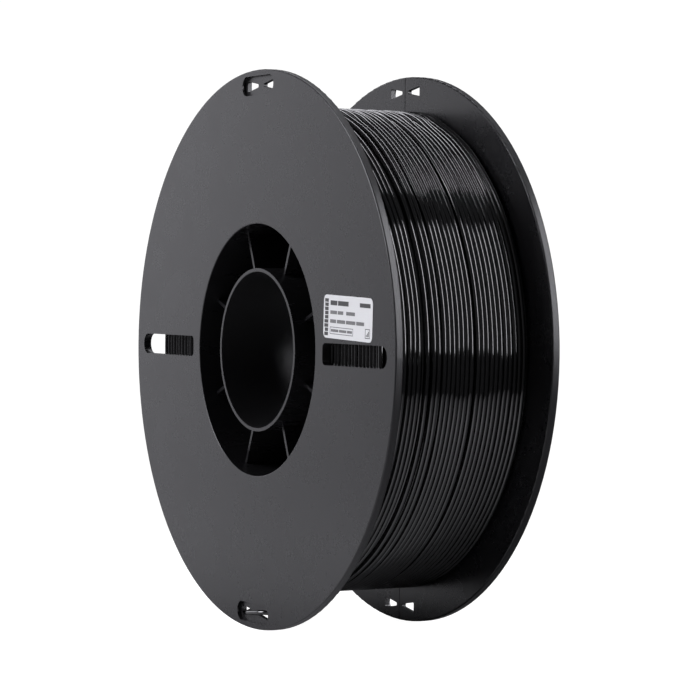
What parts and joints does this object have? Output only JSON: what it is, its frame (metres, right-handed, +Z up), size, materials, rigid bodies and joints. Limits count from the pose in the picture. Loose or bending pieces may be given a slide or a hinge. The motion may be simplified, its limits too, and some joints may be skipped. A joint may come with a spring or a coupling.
{
  "type": "filament spool",
  "caption": "Flat-flanged plastic spool for 3-D printer filament: ribbed hub with a large bore, sight windows, rim clips, wound with glossy black filament, paper label.",
  "frame": {"origin": "on the spool's axis, halfway between the two flanges", "axes": "+Y along the spool's axis from the labelled flange to the other one, +Z up through one pair of rim clips, +X along the sight window below the label"},
  "size_m": [0.2, 0.0645, 0.2],
  "materials": {
    "spool_plastic": "fine satin moulding, dark grey",
    "filament": "smooth gloss black",
    "label_paper": "white coated paper sticker with plain grey bars"
  },
  "bodies": {
    "root": {"front_half": "spool_plastic", "rear_half": "spool_plastic", "winding": "filament", "filament_tail": "filament", "filament_start": "filament", "label": "label_paper"}
  },
  "joints": []
}
